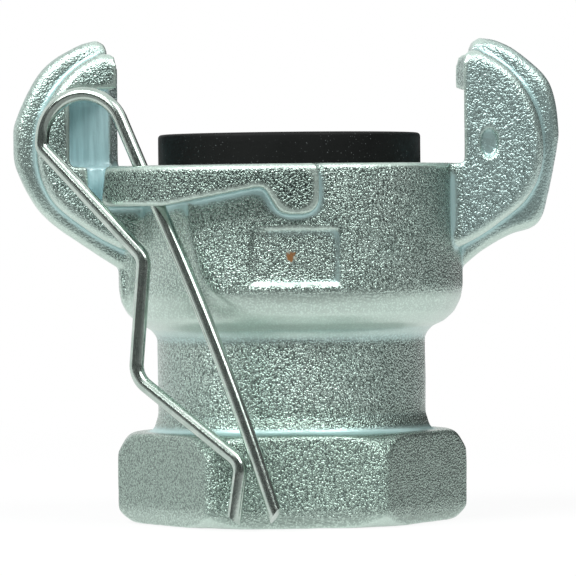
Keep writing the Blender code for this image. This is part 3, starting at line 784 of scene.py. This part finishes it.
def plated_iron():
    """Zinc plating over a grainy cast skin: sparkling grains, faint blue-green passivation,
    painted shade in hollows, in the grains' pits and on the hexagon and ledge, and painted sheen
    on lower sides and edges.
    """
    n = Nodes("plated_iron")
    cored, bright, claw = n.stored("cored"), n.stored("bright"), n.stored("claw")
    hexagon = n.stored("hexagon")
    hollow = n.remap(n.stored("hollow"), HOLLOW_RANGE, (0, 1))
    # Painted highlights along convex edges, weaker on the hexagon; the ledge's darker face gives
    # way to them
    crest = n.remap(n.stored("hollow"), CREST_RANGE, (0, CREST_HIGHLIGHT_SHARE))
    crest = n.times(crest, n.remap(hexagon, (0, 1), (1, CREST_ON_HEXAGON)))
    ledge = n.maths("SUBTRACT", n.stored("ledge"), n.times(crest, CREST_OFF_LEDGE))
    ledge = n.highest(ledge, 0.0)
    smooth = n.highest(hollow, crest, cored, n.times(bright, BRIGHT_SMOOTH),
                       n.times(n.stored("rim"), RIM_SMOOTH))

    cloud = n.noise(CLOUD_SIZE, 3.0, 0.55)
    tint = n.mix(n.remap(cloud, PATCH_RANGE, (0, 1)), *PLATE_TINTS)
    # Painted shade: a darker colour on the hexagon and on the ledge's face
    tint = n.mix(hexagon, tint, HEXAGON_SHADE_TINT)
    tint = n.mix(ledge, tint, LEDGE_SHADE_TINT)
    tint = n.mix(claw, tint, CLAW_TINT)
    # Painted sheen and painted edge highlights: a lighter colour on the sheen mask and on the
    # crest
    tint = n.mix(n.highest(bright, crest), tint, PAINTED_SHEEN_TINT)
    # Painted shade: a cool teal in hollows and fillets
    tint = n.mix(hollow, tint, HOLLOW_SHADE_TINT)
    streak = n.noise(STREAK_SIZE, 3.0, 0.6, n.stretched(STREAK_STRETCH))
    tint = n.mix(cored, tint, n.mix(n.remap(streak, PATCH_RANGE, (0, 1)), *CORED_TINTS))

    sand = n.times(n.noise(SAND_SIZE, 1.5, 0.6), SAND_HEIGHT)
    height = n.maths("ADD", sand, n.times(n.cells(CELL_SIZE), CELL_HEIGHT))
    # Painted shade in the grains' low pits: a darker colour where the bump is low, none where the
    # skin is smooth
    grains = n.highest(n.remap(height, GAP_RANGE, (0, 1)), smooth)
    pit_shade = n.mix(ledge, n.mix(claw, PIT_SHADE_TINT, CLAW_PIT_SHADE_TINT), LEDGE_PIT_SHADE_TINT)
    colour = n.mix(grains, pit_shade, tint)
    fray = n.times(n.noise(RUST_FRAY_SIZE, 3.0, 0.7), RUST_FRAY)
    spot = n.maths("ADD", n.distance(RUST_SPOT), fray)
    rust = n.remap(spot, (RUST_RADIUS - RUST_FADE, RUST_RADIUS + RUST_FADE), (1, 0))

    # Less metal where the painted sheen, the painted hollow shade and the painted edge highlights
    # are, and on the claws
    pale = n.highest(bright, hollow, n.times(claw, CLAW_PALE), n.times(crest, CREST_PALE))
    metallic = n.remap(cored, (0, 1), (1, CORED_METALLIC))
    metallic = n.maths("SUBTRACT", metallic, n.times(pale, PALE_SHARE))
    coarse = n.times(n.noise(CLAW_SAND_SIZE, 1.0, 0.5), n.times(claw, CLAW_SAND_HEIGHT))
    strength = n.times(n.remap(smooth, (0, 1), (1, SMOOTH_BUMP)),
                       n.remap(claw, (0, 1), (1, CLAW_BUMP)))
    n.set(n.shader, Base_Color=n.mix(rust, colour, RUST_TINT),
          Roughness=n.highest(n.remap(smooth, (0, 1), PLATE_ROUGHNESS), rust),
          Metallic=n.maths("SUBTRACT", metallic, rust),
          Normal=n.bump(n.maths("ADD", height, coarse), BUMP_DEPTH, strength))
    return n.material


def black_rubber():
    """Matt moulded rubber with a few pale specks of dust."""
    n = Nodes("black_rubber")
    cloud = n.noise(RUBBER_CLOUD_SIZE, 3.0, 0.6)
    speck = n.noise(RUBBER_SPECK_SIZE, 1.0, 0.5)
    speck = n.remap(speck, RUBBER_SPECK_RANGE, (0, RUBBER_SPECK_SHARE))
    n.set(n.shader, Base_Color=n.mix(speck, n.mix(cloud, *RUBBER_TINTS), RUBBER_SPECK_TINT),
          Roughness=n.remap(cloud, FINE_RANGE, RUBBER_ROUGHNESS),
          Specular_IOR_Level=RUBBER_SPECULAR,
          Normal=n.bump(n.noise(RUBBER_BUMP_SIZE, 4.0, 0.6), RUBBER_BUMP_DEPTH))
    return n.material


def plated_wire():
    """Drawn spring wire with a thin, half-bright plating."""
    n = Nodes("plated_wire")
    cloud = n.noise(WIRE_CLOUD_SIZE, 3.0, 0.6)
    fine = n.noise(WIRE_FINE_SIZE, 2.0, 0.5)
    n.set(n.shader, Base_Color=n.mix(n.remap(cloud, PATCH_RANGE, (0, 1)), *WIRE_TINTS),
          Roughness=n.remap(fine, FINE_RANGE, WIRE_ROUGHNESS), Metallic=WIRE_METALLIC,
          Normal=n.bump(fine, WIRE_BUMP_DEPTH))
    return n.material


def matt(name, colour, roughness=1.0):
    """The nodes of a material without gloss."""
    n = Nodes(name)
    n.set(n.shader, Base_Color=(*colour, 1), Roughness=roughness, Specular_IOR_Level=0.0)
    return n


# Stage

def seen_directly(tree):
    """1 for camera, glossy and transmission rays, which see the white background."""
    path = tree.nodes.new("ShaderNodeLightPath")
    total = path.outputs["Is Camera Ray"]
    for name in ("Is Glossy Ray", "Is Transmission Ray"):
        node = tree.nodes.new("ShaderNodeMath")
        node.operation = "MAXIMUM"
        tree.links.new(total, node.inputs[0])
        tree.links.new(path.outputs[name], node.inputs[1])
        total = node.outputs["Value"]
    return total


def make_world():
    """A white surround where it is seen, and a dimmer one as the light on the object."""
    world = bpy.data.worlds.new("studio")
    bpy.context.scene.world = world
    world.use_nodes = True
    tree = world.node_tree
    background = tree.nodes["Background"]
    background.inputs["Color"].default_value = (1, 1, 1, 1)
    strength = tree.nodes.new("ShaderNodeMapRange")
    tree.links.new(seen_directly(tree), strength.inputs["Value"])
    strength.inputs["To Min"].default_value = WORLD_LEVEL
    strength.inputs["To Max"].default_value = 1.0
    tree.links.new(strength.outputs["Result"], background.inputs["Strength"])


def flat_sheet(name, size, matrix, material):
    shape = bmesh.new()
    bmesh.ops.create_grid(shape, x_segments=1, y_segments=1, size=0.5,
                          matrix=matrix @ Matrix.Diagonal((*size, 1, 1)))
    mesh = bpy.data.meshes.new(name)
    shape.to_mesh(mesh)
    shape.free()
    mesh.materials.append(material)
    sheet = link(bpy.data.objects.new(name, mesh))
    return sheet


def make_floor():
    """A pale floor that keeps the object's shadow and turns white away from it."""
    n = matt("pale_floor", FLOOR_TINT, FLOOR_ROUGHNESS)
    whiter = n.remap(n.distance((0, 0, 0)), FLOOR_WHITE_REACH, FLOOR_WHITE_SHARE)
    mixed = n.add("MixShader", Fac=n.times(seen_directly(n.tree), whiter))
    n.feed(mixed.inputs[1], n.shader.outputs["BSDF"])
    n.feed(mixed.inputs[2], n.add("Emission").outputs["Emission"])
    n.set(n.tree.nodes["Material Output"], Surface=mixed.outputs["Shader"])
    below = Matrix.Translation((0, 0, -FLOOR_DROP))
    flat_sheet("floor", (FLOOR_SIZE, FLOOR_SIZE), below, n.material)


def aimed(azimuth, elevation, distance):
    """A place that faces the object: azimuth 0 is the front, 90 the right side."""
    a, e = math.radians(azimuth), math.radians(elevation)
    target = Vector(STAGE_TARGET)
    way = Vector((math.sin(a) * math.cos(e), -math.cos(a) * math.cos(e), math.sin(e)))
    spot = target + way * distance
    matrix = (spot - target).to_track_quat("Z", "Y").to_matrix().to_4x4()
    matrix.translation = spot
    return matrix


def dark_card(name, size, matrix, shade):
    """A dark sheet that the plating mirrors and the camera doesn't see."""
    card = flat_sheet(name, size, matrix, matt(name, (shade, shade, shade)).material)
    card.visible_camera = False
    card.visible_shadow = False
    return card


def lamp(name, azimuth, elevation, size, watts):
    light = bpy.data.lights.new(name, "AREA")
    light.shape = "RECTANGLE"
    light.size, light.size_y = size
    light.energy = watts
    obj = link(bpy.data.objects.new(name, light))
    obj.matrix_world = aimed(azimuth, elevation, LAMP_DISTANCE)


def make_camera():
    """The photograph's view, which is pitched, turned and rolled a little."""
    data = bpy.data.cameras.new("photo_camera")
    data.sensor_width = SENSOR_WIDTH
    data.lens = SENSOR_WIDTH * FOCAL_PIXELS / PHOTO_WIDTH
    data.clip_start = CAMERA_NEAR
    data.clip_end = CAMERA_FAR
    camera = link(bpy.data.objects.new("photo_camera", data))
    turn, roll = CAMERA_TURN, CAMERA_ROLL
    pitch = math.atan2(HORIZON_PIXELS, FOCAL_PIXELS)
    right = Vector((math.cos(turn), -math.sin(turn), 0))
    level = Vector((math.sin(turn), math.cos(turn), 0))
    upright = Vector((0, 0, 1))
    forward = level * math.cos(pitch) - upright * math.sin(pitch)
    upward = upright * math.cos(pitch) + level * math.sin(pitch)
    offset = AXIS_OFFSET_PIXELS / FOCAL_PIXELS
    aim = (forward - right * offset).normalized()
    side = (right + forward * offset).normalized()
    rolled_side = side * math.cos(roll) - upward * math.sin(roll)
    rolled_up = upward * math.cos(roll) + side * math.sin(roll)
    matrix = Matrix((rolled_side, rolled_up, -aim)).transposed().to_4x4()
    matrix.translation = (-CAMERA_DISTANCE * math.sin(turn), -CAMERA_DISTANCE * math.cos(turn),
                          CAMERA_HEIGHT)
    camera.matrix_world = matrix
    bpy.context.scene.camera = camera


def dress(piece, body, material, node=None):
    """Give a piece its material and its body, and hide the solid that it stands for, if there is
    one.
    """
    piece.data.materials.clear()
    piece.data.materials.append(material)
    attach(piece, body)
    if node:
        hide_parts(node)


def main():
    make_camera()
    bpy.context.scene.view_settings.view_transform = "Standard"
    iron = plated_iron()
    dress(cast_body(), "coupling", iron, "coupling_body")
    dress(socket_thread(), "coupling", iron)
    dress(rubber_washer(), "coupling", black_rubber(), "seal_washer")
    dress(wire_clip(), "clip", plated_wire(), "safety_clip")
    make_world()
    make_floor()
    for name, azimuth, width, shade in CARDS:
        dark_card(name, (width, CARD_HEIGHT), aimed(azimuth, 0, CARD_DISTANCE), shade)
    floor_card = dark_card("floor_card", FLOOR_CARD_SIZE, Matrix.Translation(FLOOR_CARD_PLACE),
                           FLOOR_CARD_SHADE)
    floor_card.visible_diffuse = False
    for name, azimuth, elevation, size, watts in LAMPS:
        lamp(name, azimuth, elevation, size, watts)


main()
